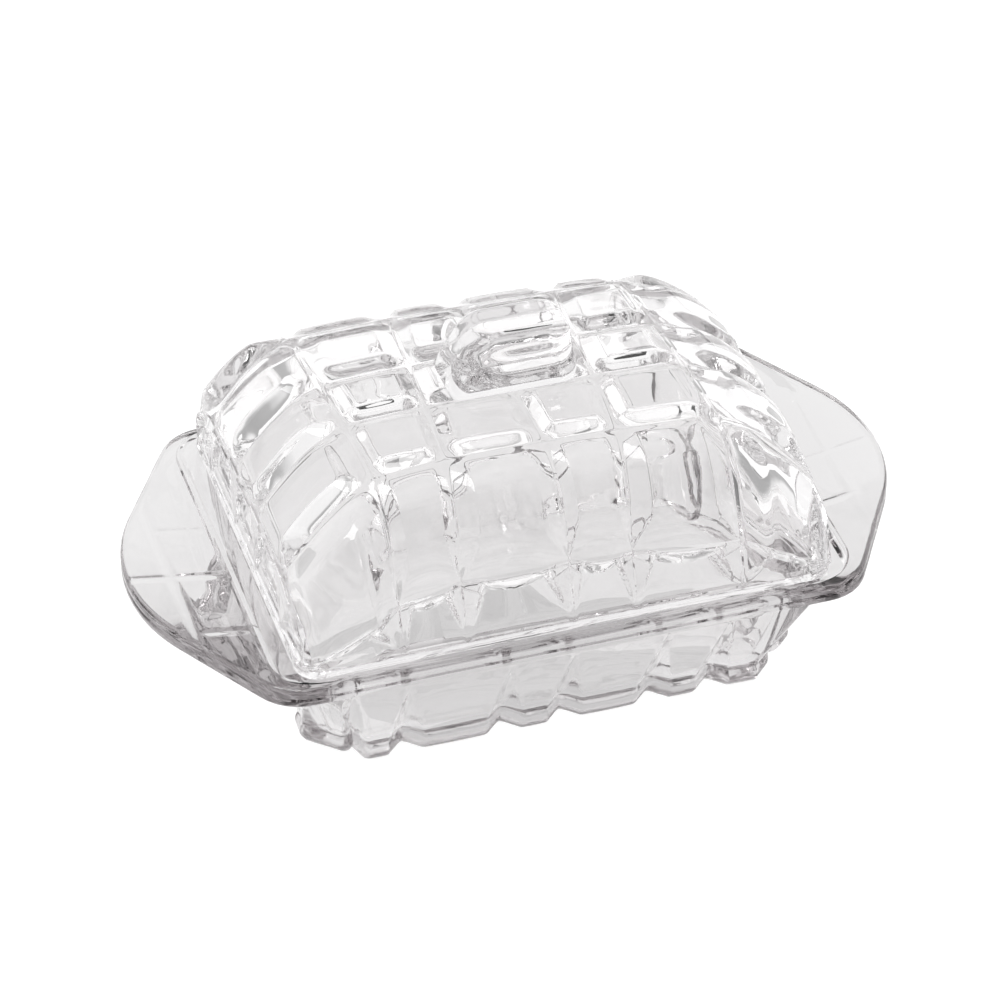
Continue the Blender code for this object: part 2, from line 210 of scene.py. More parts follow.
# Knob: ends, sides and corner radius at its foot and at its top, heights above the lid's base.
KNOB_LEFT = (-0.0202, -0.0108)
KNOB_RIGHT = (0.0172, 0.0150)
KNOB_HALF_WIDTH = (0.0092, 0.0084)
KNOB_CORNER = (0.0050, 0.0060)
KNOB_ROOT = 0.0418
KNOB_ROUND = 0.0042
KNOB_TOP_INSET = 0.0015
KNOB_LEAST_RADIUS = 0.0015
KNOB_LEAN_POWER = 1.25
KNOB_FLARE = 0.0005
KNOB_FLARE_TOP = 0.0030
KNOB_FLARE_FADE = 0.0012
KNOB_LEVELS = 16
KNOB_ROUND_STEPS = 12
KNOB_SIDE_STEPS = (26, 12)
KNOB_CORNER_STEPS = 12

# Sharper bends than this stay as crisp lines in the glass.
CREASE_ANGLE = math.radians(30.0)
MERGE_DISTANCE = 1e-6
# Keeps a width from reaching zero.
TINY = 1e-5

GLASS_INDEX = 1.52
GLASS_TINT = (0.99, 0.985, 0.986)
# Light lost on its way through the glass: thick places and edges look greyer.
GLASS_BODY = (0.52, 0.49, 0.50)
TRAY_DENSITY = 20.0
LID_DENSITY = 4.0
RIPPLE_SCALE = 70.0
RIPPLE_HEIGHT = 0.00010
STREAK_SCALE = 22.0
STREAK_SHADE = 0.985
MOST_ROUGHNESS = 0.012
# Light crosses many faces inside thick glass, and a path cut short would end in black.
LIGHT_BOUNCES = 28

# The camera's direction from the dish in degrees, its distance and its focal length in sensor widths.
VIEW_AZIMUTH = -17.6
VIEW_ELEVATION = 37.7
VIEW_DISTANCE = 1.207
FOCAL_WIDTHS = 4.6
SENSOR_WIDTH = 36.0
TARGET_X = -0.0021
TARGET_RISE = 0.00236

# A pale floor that gives light itself, so that it stays plain white under the dish.
STUDIO_FLOOR_SIZE = 6.0
STUDIO_FLOOR_Z = -0.0006
STUDIO_FLOOR_GREY = 0.22
STUDIO_FLOOR_GLOW = 0.95
# The direction of the studio's bright side, opposite the camera.
BRIGHT_SIDE = Vector((0.28, 0.88, 0.38)).normalized()
# Brightness of the studio from the camera's side (0) to the far side (1).
WORLD_TONES = ((0.0, 0.0), (0.26, 0.01), (0.34, 0.30), (0.42, 0.95), (0.55, 1.0), (1.0, 1.0))
# Brightness by height, from the horizon (0) to straight up (1): darkest at the horizon and below it.
HORIZON_TONES = ((0.0, 0.45), (0.06, 0.50), (0.13, 0.95), (0.30, 1.0), (1.0, 1.0))
WORLD_STRENGTH = 1.05
# Cards on the floor, centred on the camera's side, that only the glass sees: a dark foreground, and a
# painted shadow, greys that stand in for the dish's shadow on the table as the glass shows it. Each has
# half its spread in degrees, its inner and outer radius, its height and its grey.
FLOOR_CARDS = (
    ("floor_front", 105.0, 0.15, 2.5, -0.0003, 0.22),
    # The two cards under the dish are painted shadow, darker in front: the dish's shadow on the table.
    ("painted_shadow_under", 180.0, 0.001, 0.149, -0.0003, 0.92),
    ("painted_shadow_under_front", 85.0, 0.001, 0.052, -0.00025, 0.72),
)
CARD_STEPS = 48
# Dark cards that face the dish, and that only the glass sees: azimuth and elevation in degrees, half
# width, half height and grey.
FACING_CARDS = (
    ("camera_side", VIEW_AZIMUTH, VIEW_ELEVATION, 0.5, 0.4, 0.03),
    ("strip_behind", VIEW_AZIMUTH + 180.0, 30.0, 0.22, 0.05, 0.01),
)
FACING_CARD_DISTANCE = 1.4
# A soft light from above, a little to the left and the front.
KEY_PLACE = (-0.5, -0.3, 1.3)
KEY_TARGET = (0.0, 0.0, 0.05)
KEY_SIZE = (0.9, 0.6)
KEY_ENERGY = 9.0


def new_object(name, points, faces):
    """A smooth-shaded mesh object from points and faces; a face is a tuple of point numbers."""
    mesh = bpy.data.meshes.new(name)
    mesh.from_pydata([tuple(point) for point in points], [], [tuple(face) for face in faces])
    shape = bmesh.new()
    shape.from_mesh(mesh)
    bmesh.ops.remove_doubles(shape, verts=shape.verts, dist=MERGE_DISTANCE)
    bmesh.ops.dissolve_degenerate(shape, edges=shape.edges, dist=MERGE_DISTANCE)
    bmesh.ops.recalc_face_normals(shape, faces=shape.faces)
    shape.to_mesh(mesh)
    shape.free()
    mesh.shade_smooth()
    obj = bpy.data.objects.new(name, mesh)
    bpy.context.scene.collection.objects.link(obj)
    return obj


# ---------------------------------------------------------------- outlines


def side_directions(quarter):
    """Directions along one side of a rounded rectangle and out of it; side 0 is the front."""
    turn = 0.5 * math.pi * quarter
    along = np.array((math.cos(turn), math.sin(turn)))
    outward = np.array((math.sin(turn), -math.cos(turn)))
    return along, outward


def corner_normals(along, outward, steps):
    """Outward directions round the corner after a side, between those of its two sides."""
    angles = [0.5 * math.pi * step / steps for step in range(1, steps)]
    return [outward * math.cos(angle) + along * math.sin(angle) for angle in angles]


class Outline:
    """Stations round a rounded rectangle, counted from the front side's left end."""

    def __init__(self, side_fractions, corner_steps):
        weights, normals = [], []
        for quarter in range(4):
            along, outward = side_directions(quarter)
            for fraction in side_fractions[quarter]:
                weights.append(along * fraction + outward)
                normals.append(outward)
            for normal in corner_normals(along, outward, corner_steps):
                weights.append(along + outward)
                normals.append(normal)
        self.weights = np.array(weights)
        self.normals = np.array(normals)

    def at(self, half_x, half_y, radius):
        """The stations' points on a rounded rectangle of this size."""
        flat = np.array((half_x - radius, half_y - radius))
        return self.weights * flat + self.normals * radius

    def lengths(self, sizes):
        """How far each station is along the outline, with the whole length last."""
        points = self.at(*sizes)
        steps = np.linalg.norm(np.diff(points, axis=0, append=points[:1]), axis=1)
        return np.concatenate([[0.0], np.cumsum(steps)])


def with_height(points, height):
    """Flat points lifted to one height, or to one height each."""
    return np.column_stack([points, np.broadcast_to(height, len(points))])


def closed_stack(name, rings):
    """A closed solid from rings of points that follow each other, with a flat face at both ends."""
    count = len(rings[0])
    points = np.concatenate(rings)
    faces = []
    for ring in range(len(rings) - 1):
        for index in range(count):
            following = (index + 1) % count
            low, high = ring * count, (ring + 1) * count
            faces.append((low + index, low + following, high + following, high + index))
    faces.append(range(count - 1, -1, -1))
    faces.append(range(len(points) - count, len(points)))
    return new_object(name, points, faces)


# ---------------------------------------------------------------- tray


def tray_edge(points, directions, inset=0.0):
    """Where lines from points inside meet the tray's outline, drawn tight round six circles."""
    angles = np.linspace(0.0, 2 * math.pi, EDGE_DIRECTIONS)
    normals = np.stack([np.cos(angles), np.sin(angles)])
    corner = np.abs(normals[0]) * CORNER_CENTRE[0] + np.abs(normals[1]) * CORNER_CENTRE[1] + CORNER_RADIUS
    tip = np.abs(normals[0]) * TIP_CENTRE + TIP_RADIUS
    reach = np.maximum(corner, tip) - inset
    slopes = directions @ normals
    least = 1e-6
    distances = np.where(slopes > least, (reach - points @ normals) / np.maximum(slopes, least), np.inf)
    return points + directions * distances.min(axis=1)[:, None]


def valley(distance, half_width):
    """1 in the middle of a V-shaped valley, 0 at its edges, slightly rounded at the bottom."""
    share = np.clip(1 - np.abs(distance) / half_width, 0.0, 1.0)
    bottom = np.clip(share - (1 - VALLEY_ROUND_SHARE), 0.0, VALLEY_ROUND_SHARE) / VALLEY_ROUND_SHARE
    return share - VALLEY_FILL * bottom * share


def tray_stations():
    """Stations round the tray, and each one's distance to a groove and place in its panel."""
    sides = []
    for grooves in (LONG_GROOVES, END_GROOVES) * 2:
        spread = [
            place for place in np.linspace(-1.0, 1.0, TRAY_SIDE_STEPS)
            if min(abs(place - groove) for groove in grooves) > STEP_CLEARANCE
        ]
        sides.append(sorted(spread + list(grooves)))
    outline = Outline(sides, TRAY_CORNER_STEPS)
    lengths = outline.lengths(WALL_FOOT)
    total, places = lengths[-1], lengths[:-1]
    marks = []
    start = 0
    for quarter, (side, grooves) in enumerate(zip(sides, (LONG_GROOVES, END_GROOVES) * 2)):
        marks += [places[start + side.index(groove)] for groove in grooves]
        start += len(side)
        if quarter % 2 == 0:
            marks.append(places[start + CORNER_GROOVE_STEP - 1])
        start += TRAY_CORNER_STEPS - 1
    marks = np.array(marks)
    gaps = np.abs(places[:, None] - marks[None, :])
    gap = np.minimum(gaps, total - gaps).min(axis=1)
    following = np.searchsorted(marks, places, side="right")
    ends = np.concatenate([marks, [total]])
    before = marks[following - 1]
    share = (places - before) / (ends[following] - before)
    return outline, gap, share


def lug_valleys(points):
    """How deep the pressed valleys are under the lugs, at points of the underside."""
    x, y = points[..., 0], points[..., 1]
    across = np.abs(x) - LUG_CROSS_START_X
    beyond = np.abs(x) - LUG_LENGTHWISE_X - LUG_LENGTHWISE_SKEW * y
    depth = valley(beyond, LUG_VALLEY_HALF_WIDTH * LUG_LENGTHWISE_WIDER)
    for line_y in LUG_CROSS_Y:
        beside = np.sign(x) * (y - LUG_CROSS_SKEW * across) - line_y
        line = valley(beside, LUG_VALLEY_HALF_WIDTH)
        # Only the middle line runs on to the tip; the others stop at the lengthwise one.
        if line_y != LUG_MIDDLE_Y:
            line = np.where(beyond > 0, 0.0, line)
        depth = np.maximum(depth, line)
    fade = np.clip((np.abs(x) - LUG_FADE_START_X) / LUG_FADE_LENGTH, 0.0, 1.0)
    return LUG_VALLEY_DEPTH * depth * fade


def cut_corners(points, limit):
    """Moves the points beyond the 45-degree cuts across the corners straight back onto them."""
    excess = np.maximum(np.abs(points).sum(axis=1) - limit, 0.0)
    return points - np.sign(points) * 0.5 * excess[:, None]


def trough_rings(outline, gap, share, top_z):
    """Rings up the trough's outside, from the foot to the lugs' underside at heights top_z."""
    normals = outline.normals
    # The grooves are shallower in the corners, which are cut back.
    depth = GROOVE_DEPTH * (1 - CORNER_SHALLOWER * np.abs(2 * normals[:, 0] * normals[:, 1]))
    crown = PANEL_CROWN * (1 - (2 * share - 1) ** 2)
    foot = cut_corners(outline.at(*WALL_FOOT), CORNER_CUT[0])
    dip = depth * valley(gap, GROOVE_HALF_WIDTH)
    rings = []
    for stand_out, height in FOOT_PROFILE:
        out = stand_out - dip + crown
        rings.append(with_height(foot + normals * out[:, None], height))
    for step in range(WALL_LEVELS + 1):
        level = step / WALL_LEVELS
        sizes = [low + (high - low) * level for low, high in zip(WALL_FOOT, WALL_TOP)]
        half_width = GROOVE_HALF_WIDTH * (1 - level) + TINY
        out = (crown - depth * valley(gap, half_width)) * (1 - level)
        height = FOOT_CREASE_Z + (top_z - FOOT_CREASE_Z) * level
        limit = CORNER_CUT[0] + (CORNER_CUT[1] - CORNER_CUT[0]) * level
        base = cut_corners(outline.at(*sizes), limit)
        rings.append(with_height(base + normals * out[:, None], height))
    return rings


def build_tray():
    """The tray, as rings up its outside, out under the lugs, round the rim and down its inside."""
    outline, gap, share = tray_stations()
    normals = outline.normals
    top = outline.at(*WALL_TOP)
    edge = tray_edge(top, normals, RIM_PROFILE[0][0])
    reach = np.linalg.norm(edge - top, axis=1)
    top_z = RIM_UNDER_Z - LUG_DROP - LUG_SLOPE * reach
    rings = trough_rings(outline, gap, share, top_z)
    for step in range(1, LUG_LEVELS):
        share_out = step / LUG_LEVELS
        points = top + (edge - top) * share_out
        height = top_z + (RIM_UNDER_Z - top_z) * share_out + lug_valleys(points)
        rings.append(with_height(points, height))
    for inset, rise in RIM_PROFILE:
        rings.append(with_height(tray_edge(top, normals, inset), RIM_UNDER_Z + rise))
    for sizes, height in SEAT_PROFILE:
        rings.append(with_height(outline.at(*sizes), height))
    tray = closed_stack("tray_glass", rings)
    tray.data.set_sharp_from_angle(angle=CREASE_ANGLE)
    return tray


# ---------------------------------------------------------------- lid


def superellipse(angle):
    """Sideways and upward parts of a superellipse of size 1, at an angle from straight up."""
    sideways, upward = np.sin(angle), np.cos(angle)
    size = (np.abs(sideways) ** DOME_POWER + np.abs(upward) ** DOME_POWER) ** (1 / DOME_POWER)
    return sideways / size, upward / size


def angle_for(ratio):
    """The angle at which the superellipse is this far out sideways."""
    upward = max(0.0, 1 - abs(ratio) ** DOME_POWER) ** (1 / DOME_POWER)
    return math.atan2(ratio, upward)


def panel_places(line_count):
    """Places across the panels: whole numbers are the grooves, fractions lie between them."""
    places = [line + step for line in range(line_count - 1) for step in PANEL_STEPS]
    return np.array(places + [line_count - 1.0])


def flatten_panels(grid, places, axis, curve):
    """Moves the points between two grooves towards the straight line between those grooves."""
    lower = np.minimum(places.astype(int), int(places[-1]) - 1)
    before, after = (np.take(grid, np.searchsorted(places, lower + side), axis) for side in (0, 1))
    part = (places - lower).reshape((-1, 1, 1) if axis == 0 else (1, -1, 1))
    straight = before + (after - before) * part
    return straight + (grid - straight) * curve


def bevelled(places, width=1.0, is_crisp=False):
    """Share of the full height across the panels: a groove, a straight bevel, a shoulder, a low crown."""
    part = places % 1
    edge = np.minimum(part, 1 - part)
    round_start, round_end = SHOULDER_ROUND
    climb = np.clip((edge / width - GROOVE_SHARE) / (SHOULDER_SHARE - GROOVE_SHARE), 0.0, round_end)
    if is_crisp:
        shoulder = np.minimum(climb, 1.0)
    else:
        shoulder = np.where(climb > round_start, climb - (climb - round_start) ** 2, climb)
    crown = 1 - (2 * part - 1) ** 2
    return (1 - PANEL_CROWN_SHARE) * shoulder + PANEL_CROWN_SHARE * crown


def pillow_heights(columns, rows):
    """How far each point of the crown stands out from the flat panels, or lies below them in a groove."""
    last_column, last_row = columns[-1], rows[-1]
    from_arch = np.minimum(rows, last_row - rows)[None, :]
    is_end = ((columns < 1) | (columns > last_column - 1))[:, None]
    crown_x = bevelled(columns)[:, None]
    crown_y = np.where(from_arch < 0.5, 1.0, bevelled(rows)[None, :])
    # In the outer rows the grooves are cut in, and close to a point at the arch, where the cornice starts.
    above = np.clip(from_arch / ARCH_SHARE, NARROWEST_SHARE, 1.0)
    lens = 1 - (2 * (columns % 1) - 1)[:, None] ** 2
    closing = bevelled(columns[:, None], above, True)
    base = OUTER_ROW_PILLOW * (lens * (1 - above) + above)
    cut = (OUTER_ROW_PILLOW + OUTER_ROW_CUT) * np.sqrt(above) * (1 - closing)
    outer = np.where(is_end, END_PILLOW * crown_x, base - cut)
    inner = np.where(is_end, END_PILLOW, PILLOW) * crown_x
    return np.where(from_arch < 1, outer, inner) * crown_y


def dome_grid(skin, has_pillows):
    """Grid of points over the lid's crown, columns along X first, within its four arches."""
    half_x, half_y, corner_y, corner_z, arch_z, end_arch_z, crown_z = skin
    columns = panel_places(len(LID_GROOVES_X))
    rows = panel_places(len(LID_ROWS))
    lines = range(len(LID_GROOVES_X))
    groove_angles = [angle_for(x / LID_GROOVES_X[-1]) for x in LID_GROOVES_X]
    leans = [0.0 if line in (lines[0], lines[-1]) else LID_GROOVE_LEAN * (-1) ** line for line in lines]
    row_angles = [angle_for(ratio) for ratio in LID_ROWS]
    angle_x = np.interp(columns, lines, groove_angles)[:, None]
    lean = np.interp(columns, lines, leans)[:, None]
    angle_y = np.interp(rows, range(len(LID_ROWS)), row_angles)[None, :]
    slope = np.interp(rows, range(len(LID_ROWS)), LID_ROW_SLOPES)[None, :]
    out_x, up_x = superellipse(angle_x)
    out_y, up_y = superellipse(angle_y)
    middle = 1 - np.abs(out_x) ** MIDDLE_POWER
    edge_y = corner_y + (half_y - corner_y) * middle
    edge_z = corner_z + (arch_z - corner_z) * middle
    ridge_z = end_arch_z + (crown_z - end_arch_z) * up_x
    hip = HIP_DROP * np.abs(out_x * out_y) ** HIP_POWER
    y = edge_y * out_y + slope * half_x * out_x * middle
    x = half_x * out_x + lean * y
    z = edge_z + (ridge_z - edge_z - hip) * up_y
    grid = np.stack(np.broadcast_arrays(x, y, z), axis=-1)
    grid = flatten_panels(grid, columns, 0, CURVE_ALONG_X)
    grid = flatten_panels(grid, rows, 1, CURVE_ALONG_Y)
    if has_pillows:
        normal = np.cross(np.gradient(grid, axis=0), np.gradient(grid, axis=1))
        normal /= np.linalg.norm(normal, axis=-1, keepdims=True)
        grid = grid + normal * pillow_heights(columns, rows)[..., None]
    return grid, columns, rows


def wall_loop(grid, columns, rows, rim):
    """The crown's edge in order: grid places, points below at the rim, normals, places in the bays."""
    flat = (rim[0] - rim[2], rim[1] - rim[2])
    last_column, last_row = len(columns) - 1, len(rows) - 1
    sides = (
        ([(index, 0) for index in range(last_column + 1)], columns),
        ([(last_column, index) for index in range(last_row + 1)], rows),
        ([(last_column - index, last_row) for index in range(last_column + 1)], columns[::-1]),
        ([(0, last_row - index) for index in range(last_row + 1)], rows[::-1]),
    )
    places, weights, normals, bays = [], [], [], []
    for quarter, (side, lines) in enumerate(sides):
        along, outward = side_directions(quarter)
        for place, line in zip(side, lines):
            top = grid[place][:2]
            ratio = float(np.clip(top @ along / flat[quarter % 2], -1.0, 1.0))
            places.append(place)
            weights.append(along * ratio + outward)
            normals.append(outward)
            bays.append(line % 1)
        for normal in corner_normals(along, outward, LID_CORNER_STEPS):
            places.append(side[-1])
            weights.append(along + outward)
            normals.append(normal)
            bays.append(0.0)
    foot = np.array(weights) * flat + np.array(normals) * rim[2]
    return places, foot, np.array(normals), np.array(bays)


def soften(grid, passes):
    """Rounds the creases of a grid, and leaves its border where it is."""
    for _ in range(passes):
        inner = grid[:-2, 1:-1] + grid[2:, 1:-1] + grid[1:-1, :-2] + grid[1:-1, 2:]
        grid = grid.copy()
        grid[1:-1, 1:-1] = 0.5 * grid[1:-1, 1:-1] + 0.125 * inner
    return grid


def rib_cut(distance, level):
    """How far the wall is cut back at a distance from a rib's middle: 0 on the rib, 1 beside it."""
    return min(max((distance - RIB_HALF_WIDTH * level) / RIB_SIDE, 0.0), 1.0)


def cornice(top, outward, distance, lens):
    """Points down the cornice below a point of an arch, the wall's start there, and its depth."""
    # Near the corners the walls are low, and the cornice is smaller.
    room = min(1.0, (top[2] - LID_BAND) / CORNICE_ROOM)
    cut = rib_cut(distance, 1.0)
    points = []
    for stand_out, middle_drop, end_drop in CORNICE:
        drop = end_drop + (middle_drop - end_drop) * lens
        out = stand_out + (RIB_STAND_OUT - stand_out) * (1 - cut)
        points.append(np.array((*(top[:2] + outward * out * room), top[2] - drop * room)))
    recess = (RIB_STAND_OUT - CORNICE[-1][0]) * room
    start = np.array((*(top[:2] + outward * RIB_STAND_OUT * room), points[-1][2]))
    return points, start, recess


def wall_points(top, foot, outward, distance, lens, is_outside):
    """Points down one line of the wall, from below a point of the crown's edge to the rim."""
    if is_outside:
        points, start, recess = cornice(top, outward, distance, lens)
        levels, crown_height = LID_WALL_LEVELS, WALL_CROWN * lens
    else:
        points, start, recess = [], top, 0.0
        levels, crown_height = INNER_WALL_LEVELS, 0.0
    for row in range(1, levels + 1):
        level = 1 - row / levels
        depth = recess * level * rib_cut(distance, level)
        crown = crown_height * 4 * level * (1 - level)
        flat = foot + (start[:2] - foot) * level + outward * (crown - depth)
        points.append(np.array((*flat, LID_BAND + (start[2] - LID_BAND) * level)))
    return points


def lid_skin(skin, rim, is_outside):
    """Points and faces of one skin of the lid, and the numbers and normals of its points at the rim."""
    grid, columns, rows = dome_grid(skin, is_outside)
    if not is_outside:
        grid = soften(grid, INNER_SOFTENING)
    width = len(rows)
    points = list(grid.reshape(-1, 3))
    corners = [i * width + j for i in range(len(columns) - 1) for j in range(width - 1)]
    faces = [(corner, corner + width, corner + width + 1, corner + 1) for corner in corners]
    places, foot, normals, bays = wall_loop(grid, columns, rows, rim)
    bay_width = 2 * rim[0] / (len(LID_GROOVES_X) - 1)
    distance = np.minimum(bays, 1 - bays) * bay_width
    lens = 1 - (2 * bays - 1) ** 2
    strands = []
    for index, (i, j) in enumerate(places):
        station = (foot[index], normals[index], distance[index], lens[index])
        below = wall_points(grid[i, j], *station, is_outside)
        strands.append([i * width + j, *range(len(points), len(points) + len(below))])
        points += below
    for strand, following in zip(strands, strands[1:] + strands[:1]):
        for upper in range(1, len(strand)):
            lower = upper - 1
            face = (strand[upper], following[upper], following[lower], strand[lower])
            # At the crown's corners several strands share their first point.
            face = tuple(dict.fromkeys(face))
            if len(face) > 2:
                faces.append(face)
    rim_points = [strand[-1] for strand in strands]
    return points, faces, rim_points, normals


def unite(piece, addition):
    """Joins another solid to a piece, and removes that solid's own object."""
    union = piece.modifiers.new("union", "BOOLEAN")
    union.operation = "UNION"
    union.solver = "EXACT"
    union.object = addition
    graph = bpy.context.evaluated_depsgraph_get()
    joined = bpy.data.meshes.new_from_object(piece.evaluated_get(graph))
    piece.modifiers.clear()
    piece.data = joined
    bpy.data.objects.remove(addition, do_unlink=True)


def build_lid():
    """The lid: an outer and an inner skin, joined round the underside of the rim, with the knob."""
    outer, outer_faces, outer_rim, normals = lid_skin(OUTER_SKIN, LID_RIM, True)
    inner, inner_faces, inner_rim, _ = lid_skin(INNER_SKIN, LID_RIM_INSIDE, False)
    points = outer + inner
    faces = outer_faces + [tuple(len(outer) + number for number in face[::-1]) for face in inner_faces]
    rims = {"outer": outer_rim, "inner": [len(outer) + number for number in inner_rim]}
    loops = [rims["outer"]]
    for skin, stand_out, height in LID_RIM_PROFILE:
        loops.append(range(len(points), len(points) + len(normals)))
        for number, normal in zip(rims[skin], normals):
            flat = points[number][:2] + normal * stand_out
            points.append(np.array((*flat, height)))
    loops.append(rims["inner"])
    for upper, lower in zip(loops, loops[1:]):
        for index in range(len(upper)):
            following = (index + 1) % len(upper)
            faces.append((upper[index], lower[index], lower[following], upper[following]))
    points = np.array(points) + (0.0, 0.0, LID_BASE_Z)
    lid = new_object("lid_glass", points, faces)
    unite(lid, build_knob())
    lid.data.shade_smooth()
    lid.data.set_sharp_from_angle(angle=CREASE_ANGLE)
    return lid


def build_knob():
    """The solid that the knob adds to the lid, with a flared foot and rounded ends and edges."""
    sides = [np.linspace(-1.0, 1.0, steps) for steps in KNOB_SIDE_STEPS] * 2
    outline = Outline(sides, KNOB_CORNER_STEPS)
    top = LID_HEIGHT
    round_start = top - KNOB_ROUND
    # Each level is a height and how far the outline is drawn in there.
    levels = [
        (KNOB_ROOT + (round_start - KNOB_ROOT) * step / KNOB_LEVELS, 0.0) for step in range(KNOB_LEVELS + 1)
    ]
    for angle in np.linspace(0.0, 0.5 * math.pi, KNOB_ROUND_STEPS)[1:]:
        levels.append((top - KNOB_ROUND * (1 - math.sin(angle)), KNOB_ROUND * (1 - math.cos(angle))))
    levels.append((top, KNOB_ROUND + KNOB_TOP_INSET))
    rings = []
    for height, inset in levels:
        rise = (height - KNOB_ROOT) / (top - KNOB_ROOT)
        flare = KNOB_FLARE * min(1.0, math.exp((KNOB_ROOT + KNOB_FLARE_TOP - height) / KNOB_FLARE_FADE))
        grow = flare - inset
        lean = rise**KNOB_LEAN_POWER
        left, right = (foot + (top_end - foot) * lean for foot, top_end in (KNOB_LEFT, KNOB_RIGHT))
        half_width, radius = (
            foot + (top_size - foot) * rise for foot, top_size in (KNOB_HALF_WIDTH, KNOB_CORNER)
        )
        sizes = ((right - left) / 2 + grow, half_width + grow, max(radius + grow, KNOB_LEAST_RADIUS))
        ring = outline.at(*sizes) + ((left + right) / 2, 0.0)
        rings.append(with_height(ring, height + LID_BASE_Z))
    return closed_stack("knob_form", rings)


# ---------------------------------------------------------------- materials and studio


def add_node(tree, kind, values):
    """A new shader node with some of its inputs set."""
    node = tree.nodes.new(kind)
    for name, value in values.items():
        node.inputs[name].default_value = value
    return node


def glass_material(name, density, seed):
    """Clear pressed glass: fire-polished, with slow ripples and faint streaks."""
    material = bpy.data.materials.new(name)
    material.use_nodes = True
    tree = material.node_tree
    links = tree.links
    shader = tree.nodes["Principled BSDF"]
    shader.inputs["IOR"].default_value = GLASS_INDEX
    shader.inputs["Transmission Weight"].default_value = 1.0
    place = tree.nodes.new("ShaderNodeTexCoord")
    shift = add_node(tree, "ShaderNodeMapping", {"Location": (seed, 0.37 * seed, 0.0)})
    links.new(place.outputs["Object"], shift.inputs["Vector"])
    ripple_values = {"Scale": RIPPLE_SCALE, "Detail": 2.0, "Roughness": 0.45}
    ripples = add_node(tree, "ShaderNodeTexNoise", ripple_values)
    links.new(shift.outputs["Vector"], ripples.inputs["Vector"])
    swell = add_node(tree, "ShaderNodeBump", {"Strength": 1.0, "Distance": RIPPLE_HEIGHT})
    links.new(ripples.outputs["Fac"], swell.inputs["Height"])
    links.new(swell.outputs["Normal"], shader.inputs["Normal"])
    streaks = add_node(tree, "ShaderNodeTexNoise", {"Scale": STREAK_SCALE, "Detail": 3.0})
    links.new(shift.outputs["Vector"], streaks.inputs["Vector"])
    colour = tree.nodes.new("ShaderNodeValToRGB")
    shaded, clear = colour.color_ramp.elements
    shaded.position = 0.35
    shaded.color = (*(STREAK_SHADE * channel for channel in GLASS_TINT), 1.0)
    clear.position = 0.65
    clear.color = (*GLASS_TINT, 1.0)
    links.new(streaks.outputs["Fac"], colour.inputs["Fac"])
    links.new(colour.outputs["Color"], shader.inputs["Base Color"])
    polish = add_node(tree, "ShaderNodeMapRange", {"To Min": 0.0, "To Max": MOST_ROUGHNESS})
    links.new(streaks.outputs["Fac"], polish.inputs["Value"])
    links.new(polish.outputs["Result"], shader.inputs["Roughness"])
    body = add_node(tree, "ShaderNodeVolumeAbsorption", {"Color": (*GLASS_BODY, 1.0), "Density": density})
    links.new(body.outputs["Volume"], tree.nodes["Material Output"].inputs["Volume"])
    return material


def glowing_material(name, surface, roughness, glow, strength):
    """A matt grey surface that also gives light of a grey tone."""
    material = bpy.data.materials.new(name)
    material.use_nodes = True
    shader = material.node_tree.nodes["Principled BSDF"]
    shader.inputs["Base Color"].default_value = (surface, surface, surface, 1.0)
    shader.inputs["Roughness"].default_value = roughness
    shader.inputs["Specular IOR Level"].default_value = 0.0
    shader.inputs["Emission Color"].default_value = (glow, glow, glow, 1.0)
    shader.inputs["Emission Strength"].default_value = strength
    return material


def build_floor():
    bpy.ops.mesh.primitive_plane_add(size=STUDIO_FLOOR_SIZE, location=(0.0, 0.0, STUDIO_FLOOR_Z))
    floor = bpy.context.object
    floor.name = "floor"
    floor.data.materials.append(
        glowing_material("pale_floor", STUDIO_FLOOR_GREY, 0.9, 1.0, STUDIO_FLOOR_GLOW)
    )


def tone_ramp(tree, source, tones):
    """A ramp of greys, given as pairs of a place from 0 to 1 and a tone, that follows a source."""
    ramp = tree.nodes.new("ShaderNodeValToRGB")
    elements = ramp.color_ramp.elements
    elements[0].position, elements[1].position = tones[0][0], tones[-1][0]
    for position, _ in tones[1:-1]:
        elements.new(position)
    for element, (_, value) in zip(elements, tones):
        element.color = (value, value, value, 1.0)
    tree.links.new(source, ramp.inputs["Fac"])
    return ramp.outputs["Color"]


def build_world():
    """A studio that is bright on its far side, and darker towards the horizon."""
    world = bpy.data.worlds.new("studio")
    bpy.context.scene.world = world
    world.use_nodes = True
    tree = world.node_tree
    links = tree.links
    background = tree.nodes["Background"]
    place = tree.nodes.new("ShaderNodeTexCoord")
    # How far a direction points away from the camera's side: the studio's far side is the bright one.
    facing = tree.nodes.new("ShaderNodeVectorMath")
    facing.operation = "DOT_PRODUCT"
    facing.inputs[1].default_value = BRIGHT_SIDE
    links.new(place.outputs["Generated"], facing.inputs[0])
    share = add_node(tree, "ShaderNodeMapRange", {"From Min": -1.0})
    links.new(facing.outputs["Value"], share.inputs["Value"])
    split = tree.nodes.new("ShaderNodeSeparateXYZ")
    links.new(place.outputs["Generated"], split.inputs["Vector"])
    product = tree.nodes.new("ShaderNodeMath")
    product.operation = "MULTIPLY"
    links.new(tone_ramp(tree, share.outputs["Result"], WORLD_TONES), product.inputs[0])
    links.new(tone_ramp(tree, split.outputs["Z"], HORIZON_TONES), product.inputs[1])
    links.new(product.outputs["Value"], background.inputs["Color"])
    background.inputs["Strength"].default_value = WORLD_STRENGTH


def view_directions(azimuth, elevation):
    """Directions from the dish towards a viewer, and to the right and upwards in the viewer's picture."""
    azimuth, elevation = math.radians(azimuth), math.radians(elevation)
    back = Vector((
        math.sin(azimuth) * math.cos(elevation),
        -math.cos(azimuth) * math.cos(elevation),
        math.sin(elevation),
    ))
    right = Vector((math.cos(azimuth), math.sin(azimuth), 0.0))
    return back, right, back.cross(right)


